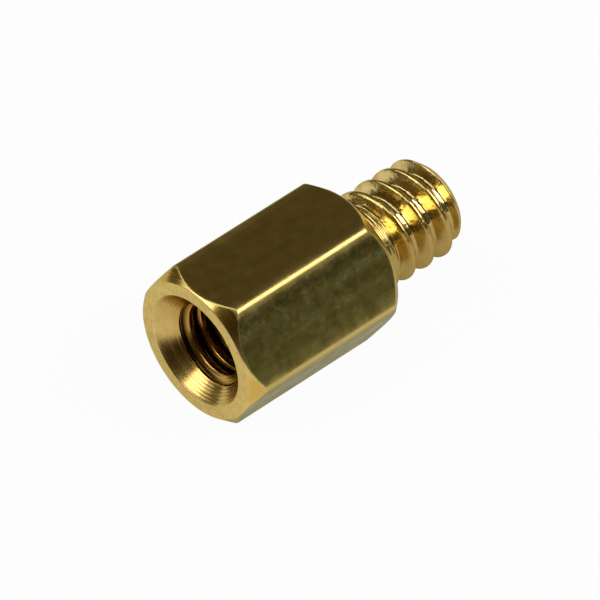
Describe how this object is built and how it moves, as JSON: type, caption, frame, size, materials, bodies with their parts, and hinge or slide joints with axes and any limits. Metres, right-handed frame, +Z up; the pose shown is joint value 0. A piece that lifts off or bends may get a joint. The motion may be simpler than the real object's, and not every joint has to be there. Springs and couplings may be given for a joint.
{
  "type": "hex standoff",
  "caption": "Male-female hex standoff: a short hexagonal brass spacer with a countersunk tapped blind hole at one end and a threaded stud behind a flat shoulder at the other.",
  "frame": {"origin": "centre of the part's bounding box, at its base: the flat that it lies on", "axes": "+X along the turning axis, from the tapped end to the stud's tip; +Z up, square to the flat that it lies on; +Y across the corners"},
  "size_m": [0.0104, 0.0056, 0.005],
  "materials": {
    "brass": "drawn and turned, bright, with light tarnish"
  },
  "bodies": {
    "root": {"hex_standoff": "brass"}
  },
  "joints": []
}
